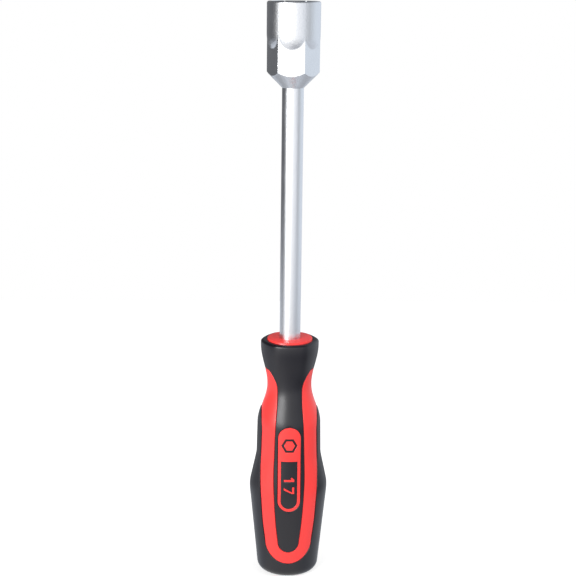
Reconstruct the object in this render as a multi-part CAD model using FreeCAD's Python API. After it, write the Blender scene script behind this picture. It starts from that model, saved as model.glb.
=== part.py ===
"""Nut driver with a fixed 150 mm blade: a forged hexagon socket pressed on a round shank, and a
two-colour moulded grip whose red core carries black soft parts, front and back alike.

Millimetres. +Z runs up the tool from the butt, and the origin is the middle of the butt's flat end.
The front of the grip, with its badge, looks along -Y.
"""

import FreeCAD, Part
import math
import os

from FreeCAD import Vector

# ---- socket ---------------------------------------------------------------------------------
NUT_ACROSS_FLATS = 17.0        # the hexagon nut that the socket turns
NUT_CLEARANCE = 0.15           # across flats, so that the nut slips in
RECESS_DEPTH = 12.0            # hexagon recess, from the mouth
MOUTH_CHAMFER = 0.7            # lead-in inside the mouth
STUD_BORE_RADIUS = 5.6         # room for the stud that stands through the nut
STUD_BORE_DEPTH = 22.0         # from the mouth to the end of the stud bore
SOCKET_LENGTH = 36.7           # mouth to the foot of the rear cone
SOCKET_RADIUS = 11.6           # round part
MOUTH_ROUND = 0.8              # outer edge of the mouth
HEX_ACROSS_FLATS = 20.0        # outside hexagon, for a spanner
HEX_CORNER_EASE = 0.06         # how far the hexagon's corners are turned down inside the round
ROUND_LENGTH = 13.7            # mouth to where the round starts to run out into the flats
RUNOUT_RADIUS = 13.0           # curve of that run-out, seen from the side
RUNOUT_TURN = 35.0             # degrees, how far it curves, which ends it under the flats
REAR_CONE_ANGLE = 45.0         # degrees, cone behind the hexagon
HEX_CLOCKING = -6.0            # degrees, how the hexagon stands round the blade
SPIGOT_DEPTH = 11.0            # how deep the shank sits in the back of the socket
DRILL_TIP_ANGLE = 31.0         # degrees, the stud bore's conical end

# ---- shank ----------------------------------------------------------------------------------
BLADE_LENGTH = 150.0           # top of the collar to the mouth
SHANK_RADIUS = 4.75
TANG_LENGTH = 82.0             # the part of the shank inside the grip
TANG_EAR_SPAN = 13.6           # across the two ears pressed out of the bar
TANG_EAR_THICKNESS = 4.4
TANG_EAR_LENGTH = 16.0
TANG_EAR_START = 12.0          # from the end of the tang
TANG_END_CHAMFER = 1.6

# ---- grip, form from the butt up --------------------------------------------------------------
BUTT_HALF_WIDTH = 13.6         # side to side, half, before the butt's edge is rounded
BUTT_HALF_DEPTH = 12.3         # front to back, half
BUTT_ROUND = 4.2
BULGE_HEIGHT = 42.5            # widest place, which keeps the hand from sliding
BULGE_HALF_WIDTH = 17.7
BULGE_HALF_DEPTH = 15.1
BULGE_RISE = 17.5              # from the bulge up to the waist
WAIST_HALF_WIDTH = 14.6
WAIST_HALF_DEPTH = 14.5
WAIST_LENGTH = 13.0            # from the waist up to the shoulder
SHOULDER_HALF_WIDTH = 14.3
SHOULDER_HALF_DEPTH = 14.2
SHOULDER_FALL = 18.8           # from the shoulder up to the neck
NECK_RADIUS = 10.1
NECK_FLARE = 19.0              # from the neck up to the full collar
COLLAR_ACROSS_FLATS = 25.3     # across the middles of its bowed sides
COLLAR_SIDE_RADIUS = 22.0      # how far its sides are bowed
COLLAR_CORNER_BLEND = 0.8      # how far its corners are softened
COLLAR_BAND = 2.15             # straight part above the flare
COLLAR_TURN = 0.75             # share of the flare in which the round neck becomes the hexagon
COLLAR_CAP_ROUND = 1.1         # rounded top edge
DISC_RADIUS = 10.2             # red end face round the shank
DISC_STAND = 0.75              # how far it stands above the collar

# ---- grip, soft parts -------------------------------------------------------------------------
SOFT_WALL = 1.4                # depth of the soft parts' bed under the surface
PAD_STAND = 0.25               # how far the side pads stand above the red bands
BUTT_WALL = 3.0                # soft material under the core's end
TONGUE_BOTTOM = 13.4
TONGUE_END_RADIUS = 4.95
TONGUE_HALF_WIDTH = 7.25       # at its widest, a little above the bulge
TONGUE_WIDEST_RISE = 7.0       # above the bulge
TONGUE_SHOULDER_HALF_WIDTH = 6.3
TONGUE_SHOULDER_RISE = 5.1     # above the shoulder
TONGUE_NECK_HALF_WIDTH = 5.7
COLLAR_SKIRT = 13.45           # collar's lower edge at the sides, below the top
SKIRT_RISE = 9.1               # height of the sweep from the tongue out to that edge
SKIRT_SPREAD = 3.7             # width of the same sweep
BAND_END_WIDTH = 5.7           # red band below the tongue
PAD_EDGE_TOP_ANGLE = 58.5      # degrees round from the front to the pads' edge, at the waist
PAD_EDGE_LOW_ANGLE = 50.0      # the same below the bulge
PAD_ARCH_HEIGHT = 10.0         # rounded top of the side pads
PAD_ARCH_CROWN = 8.0           # top of the arch above the shoulder

# ---- grip, badge ------------------------------------------------------------------------------
BADGE_WIDTH = 10.3
BADGE_BOTTOM = 34.5
BADGE_LENGTH = 40.5
FIELD_RIM = 1.35               # red rim left round the black field
FIELD_LENGTH = 23.0
INLAY_DEPTH = 0.9
SYMBOL_ACROSS_FLATS = 6.4      # plain hexagon ring above the field
SYMBOL_STROKE = 1.0
SYMBOL_GAP = 4.4               # from the field's top edge to the ring
FIGURE_HEIGHT = 4.8            # plain figures for the nut's size
FIGURE_WIDTH = 3.2
FIGURE_STROKE = 0.95
FIGURE_GAP = 1.5

# ---- grip, inner core -------------------------------------------------------------------------
OUTER_SHOT = 3.2               # depth of the inner core under the grip's surface
INNER_CORE_FOOT = 8.0
INNER_CORE_HEADROOM = 9.0      # below the top of the collar

# ---- heights that follow ----------------------------------------------------------------------
WAIST_HEIGHT = BULGE_HEIGHT + BULGE_RISE
SHOULDER_HEIGHT = WAIST_HEIGHT + WAIST_LENGTH
NECK_HEIGHT = SHOULDER_HEIGHT + SHOULDER_FALL
COLLAR_HEIGHT = NECK_HEIGHT + NECK_FLARE
GRIP_TOP = COLLAR_HEIGHT + COLLAR_BAND
BED_TOP = GRIP_TOP - COLLAR_CAP_ROUND
DISC_TOP = GRIP_TOP + DISC_STAND
MOUTH = GRIP_TOP + BLADE_LENGTH
SOCKET_FOOT = MOUTH - SOCKET_LENGTH
PAD_CROWN = SHOULDER_HEIGHT + PAD_ARCH_CROWN
PAD_SPRING = PAD_CROWN - PAD_ARCH_HEIGHT
BADGE_TOP = BADGE_BOTTOM + BADGE_LENGTH
FIELD_BOTTOM = BADGE_BOTTOM + FIELD_RIM
FIELD_TOP = FIELD_BOTTOM + FIELD_LENGTH

CORNER_STEPS = (-9.0, -4.5, 0.0, 4.5, 9.0, 30.0)    # degrees from a corner, for a section's points
REACH = 40.0                   # well outside the grip, for the cutting blocks
NEAR = 1.0                     # close by: inside the grip, or just past an edge
AXIS = Vector(0, 0, 1)
ORIGIN = Vector(0, 0, 0)


# ---- small helpers ------------------------------------------------------------------------------

def smooth(points, marks=None):
    """A smooth curve through the points. marks says how far along it each of them lies."""
    curve = Part.BSplineCurve()
    if marks:
        curve.interpolate(points, Parameters=marks)
    else:
        curve.interpolate(points)
    return curve.toShape()


def lathe(outline):
    """A turned solid from its outline, given as radius and height."""
    wire = Part.makePolygon([Vector(r, 0, z) for r, z in outline + outline[:1]])
    return Part.Face(wire).revolve(ORIGIN, AXIS, 360)


def on_arc(radius, degrees):
    """How far a quarter round has come in, and how far along, where it has turned this much."""
    angle = math.radians(degrees)
    return radius * (1 - math.cos(angle)), radius * math.sin(angle)


def turned(shape, degrees):
    copy = shape.copy()
    copy.rotate(ORIGIN, AXIS, degrees)
    return copy


def pushed_back(wire, depth):
    """A flat outline in front of the grip, pushed towards the back."""
    return Part.Face(wire).extrude(Vector(0, depth, 0))


def hexagon_bar(across_flats, low, high, clocking):
    """A hexagonal bar along Z with a flat facing -Y, turned by clocking degrees."""
    corner = across_flats / 2 / math.cos(math.pi / 6)
    points = []
    for i in range(7):
        angle = math.radians(60 * i + clocking)
        points.append(Vector(corner * math.cos(angle), corner * math.sin(angle), low))
    return Part.Face(Part.makePolygon(points)).extrude(Vector(0, 0, high - low))


# ---- socket and shank ---------------------------------------------------------------------------

def make_socket():
    eased = SOCKET_RADIUS - HEX_CORNER_EASE
    round_end = MOUTH - ROUND_LENGTH
    cone = (SOCKET_RADIUS - SHANK_RADIUS) / math.tan(math.radians(REAR_CONE_ANGLE))

    inwards, down = on_arc(RUNOUT_RADIUS, RUNOUT_TURN / 2)
    half_way = Vector(SOCKET_RADIUS - inwards, 0, round_end - down)
    inwards, down = on_arc(RUNOUT_RADIUS, RUNOUT_TURN)
    runout_end = Vector(SOCKET_RADIUS - inwards, 0, round_end - down)
    runout = Part.Arc(Vector(SOCKET_RADIUS, 0, round_end), half_way, runout_end).toShape()
    rest = Part.makePolygon([runout_end, Vector(0, 0, runout_end.z), Vector(0, 0, MOUTH),
                             Vector(SOCKET_RADIUS, 0, MOUTH), Vector(SOCKET_RADIUS, 0, round_end)])
    head = Part.Face(Part.Wire([runout] + rest.Edges)).revolve(ORIGIN, AXIS, 360)
    edge = [e for e in head.Edges if e.BoundBox.ZMin > MOUTH - 0.001 and e.BoundBox.XMax > SHANK_RADIUS]
    head = head.makeFillet(MOUTH_ROUND, edge)
    bar = hexagon_bar(HEX_ACROSS_FLATS, SOCKET_FOOT, round_end, HEX_CLOCKING)
    bar = bar.common(Part.makeCylinder(eased, SOCKET_LENGTH, Vector(0, 0, SOCKET_FOOT), AXIS))
    turned_back = lathe([(0, SOCKET_FOOT), (SHANK_RADIUS, SOCKET_FOOT),
                         (SOCKET_RADIUS, SOCKET_FOOT + cone), (SOCKET_RADIUS, MOUTH), (0, MOUTH)])
    body = head.fuse(bar).common(turned_back)

    recess = NUT_ACROSS_FLATS + NUT_CLEARANCE
    lead_in = recess / 2 / math.cos(math.pi / 6)
    lead_foot = lead_in - 2 * MOUTH_CHAMFER
    drill_tip = STUD_BORE_RADIUS * math.tan(math.radians(DRILL_TIP_ANGLE))
    bore_end = MOUTH - STUD_BORE_DEPTH
    return body.cut([
        hexagon_bar(recess, MOUTH - RECESS_DEPTH, MOUTH + NEAR, HEX_CLOCKING),
        lathe([(0, MOUTH), (lead_in, MOUTH), (lead_foot, MOUTH - lead_in + lead_foot),
               (0, MOUTH - lead_in + lead_foot)]),
        lathe([(0, MOUTH), (STUD_BORE_RADIUS, MOUTH), (STUD_BORE_RADIUS, bore_end),
               (0, bore_end - drill_tip)]),
        Part.makeCylinder(SHANK_RADIUS, SPIGOT_DEPTH, Vector(0, 0, SOCKET_FOOT), AXIS),
    ])


def make_shank():
    """The blade: a round bar whose foot has two ears pressed out of it, so that it can't turn."""
    foot = DISC_TOP - TANG_LENGTH
    top = SOCKET_FOOT + SPIGOT_DEPTH
    bar = lathe([(0, foot), (SHANK_RADIUS - TANG_END_CHAMFER, foot),
                 (SHANK_RADIUS, foot + TANG_END_CHAMFER), (SHANK_RADIUS, top), (0, top)])
    half = TANG_EAR_SPAN / 2
    low = foot + TANG_EAR_START
    high = low + TANG_EAR_LENGTH
    slope = half - SHANK_RADIUS
    ears = Part.makePolygon([
        Vector(-SHANK_RADIUS, 0, low), Vector(SHANK_RADIUS, 0, low), Vector(half, 0, low + slope),
        Vector(half, 0, high - slope), Vector(SHANK_RADIUS, 0, high), Vector(-SHANK_RADIUS, 0, high),
        Vector(-half, 0, high - slope), Vector(-half, 0, low + slope), Vector(-SHANK_RADIUS, 0, low)])
    ears.translate(Vector(0, -TANG_EAR_THICKNESS / 2, 0))
    return bar.fuse(pushed_back(ears, TANG_EAR_THICKNESS))


# ---- the grip's form ----------------------------------------------------------------------------

def straight(low, high, share):
    return low + (high - low) * share


def ease(low, high, share):
    """A smooth S-shaped run from low to high as share goes from 0 to 1."""
    share = min(max(share, 0.0), 1.0)
    return low + (high - low) * (1 - math.cos(math.pi * share)) / 2


def half_size(z, butt, bulge, waist, shoulder, collar):
    """Half the grip's width or depth at height z, from its size at each station."""
    if z < BULGE_HEIGHT:
        return straight(butt, bulge, z / BULGE_HEIGHT)
    if z < WAIST_HEIGHT:
        return ease(bulge, waist, (z - BULGE_HEIGHT) / BULGE_RISE)
    if z < SHOULDER_HEIGHT:
        return straight(waist, shoulder, (z - WAIST_HEIGHT) / WAIST_LENGTH)
    if z < NECK_HEIGHT:
        return ease(shoulder, NECK_RADIUS, (z - SHOULDER_HEIGHT) / SHOULDER_FALL)
    return ease(NECK_RADIUS, collar, (z - NECK_HEIGHT) / NECK_FLARE)


def collar_hexagon(angle):
    """Distance from the axis to the collar's hexagon with bowed sides, which has a corner at +X."""
    behind = COLLAR_SIDE_RADIUS - COLLAR_ACROSS_FLATS / 2
    off_corner = (angle + math.pi / 6) % (math.pi / 3) - math.pi / 6
    sides = []
    for off_side in (math.pi / 6 - off_corner, math.pi / 6 + off_corner):
        sideways = behind * math.sin(off_side)
        sides.append(math.sqrt(COLLAR_SIDE_RADIUS ** 2 - sideways ** 2) - behind * math.cos(off_side))
    near = max(COLLAR_CORNER_BLEND - abs(sides[0] - sides[1]), 0)
    return min(sides) - near ** 2 / (4 * COLLAR_CORNER_BLEND)


def half_width(z):
    return half_size(z, BUTT_HALF_WIDTH, BULGE_HALF_WIDTH, WAIST_HALF_WIDTH,
                     SHOULDER_HALF_WIDTH, collar_hexagon(0))


def half_depth(z):
    return half_size(z, BUTT_HALF_DEPTH, BULGE_HALF_DEPTH, WAIST_HALF_DEPTH,
                     SHOULDER_HALF_DEPTH, collar_hexagon(0))


def surface_radius(angle, z):
    """Distance from the axis to the grip's surface: an oval that turns into the collar's hexagon."""
    wide = half_width(z)
    deep = half_depth(z)
    oval = wide * deep / math.hypot(deep * math.cos(angle), wide * math.sin(angle))
    hexagon = wide * collar_hexagon(angle) / collar_hexagon(0)
    return ease(oval, hexagon, (z - NECK_HEIGHT) / (COLLAR_TURN * NECK_FLARE))


def section(z, offset):
    points = []
    for corner in range(0, 360, 60):
        for step in CORNER_STEPS:
            angle = math.radians(corner + step)
            radius = surface_radius(angle, z) + offset
            points.append(Vector(radius * math.cos(angle), radius * math.sin(angle), z))
    curve = Part.BSplineCurve()
    curve.interpolate(points, PeriodicFlag=True)
    return Part.Wire([curve.toShape()])


def levels(low, high, offset):
    """The heights that the form needs from low to high, and how far it is moved outwards there."""
    spans = ((0, BULGE_HEIGHT, 6), (BULGE_HEIGHT, WAIST_HEIGHT, 4), (WAIST_HEIGHT, SHOULDER_HEIGHT, 2),
             (SHOULDER_HEIGHT, NECK_HEIGHT, 4), (NECK_HEIGHT, COLLAR_HEIGHT, 4))
    heights = [straight(foot, top, i / count) for foot, top, count in spans for i in range(count)]
    heights = [z for z in heights if low + NEAR < z < high - NEAR]
    return [(z, offset) for z in [low] + heights + [high]]


def grip_form(heights):
    """A smooth solid through the grip's sections at these heights."""
    return Part.makeLoft([section(z, offset) for z, offset in heights], True, False)


def turned_form(low, high, depth):
    """A turned solid that keeps this far under the grip's flattest sides."""
    stations = [low, BULGE_HEIGHT, WAIST_HEIGHT, SHOULDER_HEIGHT, (SHOULDER_HEIGHT + NECK_HEIGHT) / 2,
                NECK_HEIGHT, (NECK_HEIGHT + COLLAR_HEIGHT) / 2, high]
    stations = sorted(z for z in stations if low <= z <= high)
    side = [(surface_radius(math.pi / 2, z) - depth, z) for z in stations]
    return lathe([(0, low)] + side + [(0, high)])


def shell_form():
    """The side pads' surface, a little proud of the grip's, with the butt's rounded edge."""
    foot = []
    for degrees in range(90, -1, -15):
        inwards, down = on_arc(BUTT_ROUND, degrees)
        foot.append((BUTT_ROUND - down, PAD_STAND - inwards))
    pads = grip_form(levels(BUTT_ROUND, PAD_CROWN + NEAR, PAD_STAND))
    return pads.fuse(grip_form(foot))


# ---- blocks that part the grip's outer layer ----------------------------------------------------

def collar_block():
    """The collar with its front and back tongues, seen from the front and pushed right through."""
    skirt = GRIP_TOP - COLLAR_SKIRT
    end = TONGUE_BOTTOM + TONGUE_END_RADIUS
    edge = [(TONGUE_END_RADIUS, end),
            (TONGUE_HALF_WIDTH, BULGE_HEIGHT + TONGUE_WIDEST_RISE),
            (TONGUE_SHOULDER_HALF_WIDTH, SHOULDER_HEIGHT + TONGUE_SHOULDER_RISE)]
    for share in (0, 0.4, 0.7, 1):
        edge.append((TONGUE_NECK_HALF_WIDTH + SKIRT_SPREAD * share ** 2, skirt - SKIRT_RISE * (1 - share)))
    right = smooth([Vector(x, -REACH, z) for x, z in edge])
    left = smooth([Vector(-x, -REACH, z) for x, z in reversed(edge)])
    tip = Part.Arc(left.Vertexes[-1].Point, Vector(0, -REACH, TONGUE_BOTTOM), right.Vertexes[0].Point)
    over = Part.makePolygon([
        right.Vertexes[-1].Point, Vector(REACH, -REACH, skirt), Vector(REACH, -REACH, GRIP_TOP + REACH),
        Vector(-REACH, -REACH, GRIP_TOP + REACH), Vector(-REACH, -REACH, skirt), left.Vertexes[0].Point])
    return pushed_back(Part.Wire([tip.toShape(), right] + over.Edges + [left]), 2 * REACH)


def radial_block(edge, far):
    """A block whose walls point at the axis, between a curved edge and a level one at height far.

    The edge's points are a sideways distance for each unit in front of the axis, and a height.
    """
    marks = [0.0]
    for (side, z), (next_side, next_z) in zip(edge, edge[1:]):
        marks.append(marks[-1] + math.hypot((next_side - side) * SHOULDER_HALF_DEPTH, next_z - z))
    wires = []
    for reach in (REACH, NEAR):
        points = [Vector(side * reach, -reach, z) for side, z in edge]
        level = [Vector(end.x, -reach, far) for end in (points[-1], points[0])]
        over = Part.makePolygon([points[-1]] + level + [points[0]])
        wires.append(Part.Wire([smooth(points, marks)] + over.Edges))
    return Part.makeLoft(wires, True, True)


def window_block():
    """What isn't pad in front: a U round the tongue's end that widens up to the pads' arches."""
    centre = TONGUE_BOTTOM + TONGUE_END_RADIUS
    radius = TONGUE_END_RADIUS + BAND_END_WIDTH
    low = math.tan(math.radians(PAD_EDGE_LOW_ANGLE))
    wide = math.tan(math.radians(PAD_EDGE_TOP_ANGLE))
    right = []
    for degrees in range(15, 91, 15):
        x = radius * math.sin(math.radians(degrees))
        z = centre - radius * math.cos(math.radians(degrees))
        y = half_depth(z) * math.sqrt(1 - (x / half_width(z)) ** 2)
        right.append((x / y, z))
    for share in (0.0, 0.35, 0.65, 1.0):
        right.append((ease(low, wide, share), BULGE_HEIGHT + share * BULGE_RISE))
    right.append((wide, PAD_SPRING))
    left = [(-side, z) for side, z in reversed(right)]
    return radial_block(left + [(0.0, centre - radius)] + right, PAD_CROWN)


def arch_block():
    """The rounded top of a side pad, before it is turned to the side."""
    wide = math.tan(math.radians(90 - PAD_EDGE_TOP_ANGLE))
    edge = []
    for degrees in range(0, 181, 20):
        angle = math.radians(degrees)
        edge.append((wide * math.cos(angle), PAD_SPRING + PAD_ARCH_HEIGHT * math.sin(angle)))
    return radial_block(edge, PAD_SPRING - PAD_ARCH_HEIGHT)


def pad_block():
    """The side pads and the butt: all of the layer but the windows, up to the pads' arched tops."""
    below = Part.makeBox(2 * REACH, 2 * REACH, PAD_SPRING + REACH, Vector(-REACH, -REACH, -REACH))
    above = Part.makeBox(2 * REACH, 2 * REACH, REACH, Vector(-REACH, -REACH, PAD_SPRING))
    window = window_block()
    arches = [turned(arch_block(), side).common(above) for side in (90, -90)]
    return below.cut([window, turned(window, 180)]).fuse(arches)


# ---- badge --------------------------------------------------------------------------------------

def stadium(width, low, high):
    """A slot-shaped block with round ends, from well in front back to the axis."""
    r = width / 2
    corners = [Vector(x, -REACH, z) for x, z in ((-r, high - r), (-r, low + r), (r, low + r), (r, high - r))]
    upper = Part.Arc(corners[3], Vector(0, -REACH, high), corners[0])
    lower = Part.Arc(corners[1], Vector(0, -REACH, low), corners[2])
    sides = [Part.makeLine(corners[0], corners[1]), Part.makeLine(corners[2], corners[3])]
    return pushed_back(Part.Wire([upper.toShape(), sides[0], lower.toShape(), sides[1]]), REACH)


def figure(outline, middle):
    """A figure's block. Its foot is towards -X and it is read down the grip, round that height."""
    points = [Vector(up - FIGURE_HEIGHT / 2, -REACH, middle - along) for along, up in outline + outline[:1]]
    return pushed_back(Part.makePolygon(points), REACH)


def figures_block():
    """The nut's size in plain figures, a one and a seven."""
    w = FIGURE_WIDTH / 2
    h = FIGURE_HEIGHT
    s = FIGURE_STROKE
    one = [(-s / 2, 0), (s / 2, 0), (s / 2, h), (-s / 2, h), (-1.7 * s, h - 1.2 * s), (-1.1 * s, h - 1.8 * s),
           (-s / 2, h - 1.3 * s)]
    seven = [(-w, h - s), (w - 0.7 * s, h - s), (-w + 0.4 * s, 0), (-w + 1.5 * s, 0), (w, h - 0.9 * s),
             (w, h), (-w, h)]
    middle = (FIELD_BOTTOM + FIELD_TOP) / 2
    step = (FIGURE_WIDTH + FIGURE_GAP) / 2
    return figure(one, middle + step).fuse(figure(seven, middle - step))


def field_block():
    """The badge's lower field, round below and cut straight above, with the figures left standing."""
    slot = stadium(BADGE_WIDTH - 2 * FIELD_RIM, FIELD_BOTTOM, FIELD_TOP + BADGE_WIDTH)
    box = Part.makeBox(BADGE_WIDTH, REACH, FIELD_LENGTH, Vector(-BADGE_WIDTH / 2, -REACH, FIELD_BOTTOM))
    return slot.common(box).cut(figures_block())


def symbol_block():
    """A plain hexagon ring, the sign for a nut."""
    ring = hexagon_bar(SYMBOL_ACROSS_FLATS, 0, REACH, 0)
    ring = ring.cut(hexagon_bar(SYMBOL_ACROSS_FLATS - 2 * SYMBOL_STROKE, 0, REACH, 0))
    ring.rotate(ORIGIN, Vector(1, 0, 0), 90)
    ring.translate(Vector(0, 0, FIELD_TOP + SYMBOL_GAP + SYMBOL_ACROSS_FLATS / 2))
    return ring


# ---- the moulded parts --------------------------------------------------------------------------

def collar_cap():
    """The end of the grip, inside the collar's rounded top edge."""
    heights = []
    for degrees in range(0, 91, 15):
        inwards, up = on_arc(COLLAR_CAP_ROUND, degrees)
        heights.append((BED_TOP + up, -inwards))
    return grip_form(heights)


def grip_parts(shank):
    """The moulded parts of the grip, by name."""
    form = grip_form(levels(0, BED_TOP, 0)).fuse(collar_cap())
    bed = turned_form(BUTT_WALL, BED_TOP, SOFT_WALL)
    inner = turned_form(INNER_CORE_FOOT, GRIP_TOP - INNER_CORE_HEADROOM, OUTER_SHOT)
    floor = turned_form(BADGE_BOTTOM, BADGE_TOP, INLAY_DEPTH)
    skin = grip_form(levels(BADGE_BOTTOM, BADGE_TOP, 0))
    disc = Part.makeCylinder(DISC_RADIUS, DISC_TOP - BED_TOP, Vector(0, 0, BED_TOP), AXIS)

    badge = stadium(BADGE_WIDTH, BADGE_BOTTOM, BADGE_TOP)
    collar_zone = collar_block().cut([bed, badge, turned(badge, 180), disc])
    pad_zone = pad_block().cut(bed)
    inlays = {"badge_field": skin.common(field_block()).cut(floor),
              "badge_symbol": skin.common(symbol_block()).cut(floor)}
    pockets = [field_block().cut(floor), symbol_block().cut(floor)]
    pockets += [turned(pocket, 180) for pocket in pockets]

    parts = {
        "inner_core": inner.cut(shank),
        "handle_core": form.fuse(disc).cut([collar_zone, pad_zone, inner, shank] + pockets),
        "grip_collar": form.common(collar_zone),
        "grip_shell": shell_form().common(pad_zone),
    }
    for name, inlay in inlays.items():
        parts[name + "_front"] = inlay
        parts[name + "_back"] = turned(inlay, 180)
    return parts


def main():
    os.makedirs("parts", exist_ok=True)
    parts = {"socket_head": make_socket(), "shank": make_shank()}
    parts.update(grip_parts(parts["shank"]))
    for name, shape in parts.items():
        print(name, "valid", shape.isValid(), "solids", len(shape.Solids), "volume", round(shape.Volume, 1))
        shape.exportStep("parts/%s.step" % name)


main()
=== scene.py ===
"""The looks of the nut driver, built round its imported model: steel, moulded grip, stage and camera.

Lengths are in metres, with Z up the tool and the grip's front looking along -Y. An angle round the
tool is counted from the front towards +X.
"""

import math

import bmesh
import bpy
import numpy as np
from bpy.props import FloatProperty, FloatVectorProperty, PointerProperty
from mathutils import Matrix, Vector
from mathutils.geometry import delaunay_2d_cdt
from mathutils.kdtree import KDTree


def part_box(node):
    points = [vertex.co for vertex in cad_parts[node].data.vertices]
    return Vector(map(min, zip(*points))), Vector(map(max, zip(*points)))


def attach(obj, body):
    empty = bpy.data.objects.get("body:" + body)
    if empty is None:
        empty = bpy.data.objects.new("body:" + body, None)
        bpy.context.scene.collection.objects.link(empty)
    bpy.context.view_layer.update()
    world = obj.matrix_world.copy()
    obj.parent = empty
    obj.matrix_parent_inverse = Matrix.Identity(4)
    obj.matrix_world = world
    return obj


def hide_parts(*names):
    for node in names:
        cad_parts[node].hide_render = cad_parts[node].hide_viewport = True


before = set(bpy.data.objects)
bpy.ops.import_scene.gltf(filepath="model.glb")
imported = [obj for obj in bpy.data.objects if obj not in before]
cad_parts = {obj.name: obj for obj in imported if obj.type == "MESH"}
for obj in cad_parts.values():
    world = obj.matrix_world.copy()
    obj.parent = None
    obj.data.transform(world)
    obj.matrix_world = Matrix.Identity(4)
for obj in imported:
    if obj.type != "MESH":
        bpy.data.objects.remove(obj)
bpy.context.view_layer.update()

bl_info = {
    "name": "Nut driver",
    "version": (1, 0, 0),
    "blender": (4, 5, 0),
    "location": "View3D > Sidebar > Nut driver",
    "description": "Builds the visible pieces of a nut driver with a two-colour grip",
    "category": "Object",
}

MM = 0.001
SOCKET_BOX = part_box("socket_head")
SHANK_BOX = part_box("shank")
CORE_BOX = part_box("handle_core")
COLLAR_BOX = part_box("grip_collar")
SOCKET_FOOT = SOCKET_BOX[0][2]
MOUTH = SOCKET_BOX[1][2]
ROUND_RADIUS = SOCKET_BOX[1][0]
SHANK_RADIUS = SHANK_BOX[1][1]
CORE_TOP = CORE_BOX[1][2]
COLLAR_TOP = COLLAR_BOX[1][2]


# ---- sizes and colours that a user can change ----

def size(name, millimetres, description):
    """A length, kept in metres, from its default in millimetres."""
    return FloatProperty(name=name, description=description, default=millimetres * MM,
                         unit="LENGTH", precision=5)


def turn(name, degrees, description):
    """An angle, kept in radians, from its default in degrees."""
    return FloatProperty(name=name, description=description, default=math.radians(degrees),
                         unit="ROTATION")


def linear(code):
    """The linear colour of an sRGB hex code."""
    parts = [int(code[i:i + 2], 16) / 255 for i in (1, 3, 5)]
    return [p / 12.92 if p <= 0.04045 else ((p + 0.055) / 1.055) ** 2.4 for p in parts]


def colour(name, code, description):
    """A colour from its default's sRGB hex code."""
    return FloatVectorProperty(name=name, description=description, default=linear(code),
                               subtype="COLOR", min=0.0, max=1.0)


class SteelSizes(bpy.types.PropertyGroup):
    recess_across_flats: size("Recess across flats", 17.15, "Hexagon that holds the nut")
    recess_depth: size("Recess depth", 12.0, "From the mouth to the recess's floor")
    stud_bore_radius: size("Stud bore radius", 5.6, "Bore behind the recess")
    stud_bore_depth: size("Stud bore depth", 22.0, "From the mouth to the bore's end")
    drill_tip_angle: turn("Drill tip angle", 31.0, "Slope of the bore's conical end")
    mouth_round: size("Mouth round", 0.8, "Outer edge of the mouth")
    hex_across_flats: size("Hexagon across flats", 20.0, "Outside hexagon, for a spanner")
    hex_corner_ease: size("Hexagon corner ease", 0.06, "How far its corners are turned down")
    round_length: size("Round length", 13.7, "From the mouth to where the round starts to run out")
    runout_radius: size("Run-out radius", 13.0, "Curve of the round's run-out into the flats")
    hex_clocking: turn("Hexagon clocking", -6.0, "How the hexagon stands round the blade")
    rear_cone_angle: turn("Rear cone angle", 45.0, "Cone behind the hexagon")
    forged_edge: size("Forged edge", 0.2, "Width of the softened edges between the outer faces")
    spigot_depth: size("Spigot depth", 11.0, "How deep the shank sits in the socket")
    tang_ear_span: size("Tang ear span", 13.6, "Across the two ears inside the grip")
    tang_ear_thickness: size("Tang ear thickness", 4.4, "Thickness of the ears")
    tang_ear_length: size("Tang ear length", 16.0, "Length of the ears")
    tang_ear_start: size("Tang ear start", 12.0, "From the end of the tang to the ears")
    tang_end_chamfer: size("Tang end chamfer", 1.6, "Chamfer at the end of the tang")


class GripSizes(bpy.types.PropertyGroup):
    butt_half_width: size("Butt half width", 13.6, "Before the butt's edge is rounded")
    butt_half_depth: size("Butt half depth", 12.3, "Before the butt's edge is rounded")
    butt_round: size("Butt round", 4.2, "Rounded edge of the butt")
    bulge_low: size("Bulge low", 41.3, "Lower end of the widest stretch")
    bulge_high: size("Bulge high", 44.3, "Upper end of the widest stretch")
    bulge_half_width: size("Bulge half width", 17.7, "Half the grip's greatest width")
    bulge_half_depth: size("Bulge half depth", 15.1, "Half its depth there")
    bulge_edge: size("Bulge edge", 1.6, "How far each way the bulge's edges are softened")
    waist_low: size("Waist low", 58.6, "Where the bulge has run down to the waist")
    waist_half_width: size("Waist half width", 14.6, "Half the width there")
    waist_half_depth: size("Waist half depth", 14.5, "Half the depth there")
    shoulder: size("Shoulder", 73.0, "Height where the grip starts to narrow to the neck")
    shoulder_half_width: size("Shoulder half width", 14.3, "Half the width there")
    shoulder_half_depth: size("Shoulder half depth", 14.2, "Half the depth there")
    neck: size("Neck", 91.8, "Height of the thinnest place")
    neck_radius: size("Neck radius", 10.1, "Radius of the thinnest place")
    neck_flare: size("Neck flare", 19.0, "From the neck up to the full collar")
    collar_across_flats: size("Collar across flats", 25.3, "Across the middles of its bowed sides")
    collar_side_radius: size("Collar side radius", 22.0, "How far the collar's sides are bowed")
    collar_corner: size("Collar corner", 0.8, "Width over which its corners are softened")
    collar_cap_round: size("Collar cap round", 1.1, "Rounded top edge of the collar")
    disc_radius: size("Disc radius", 10.2, "Red end face round the shank")
    disc_edge: size("Disc edge", 0.25, "Its rounded edge")


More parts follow.
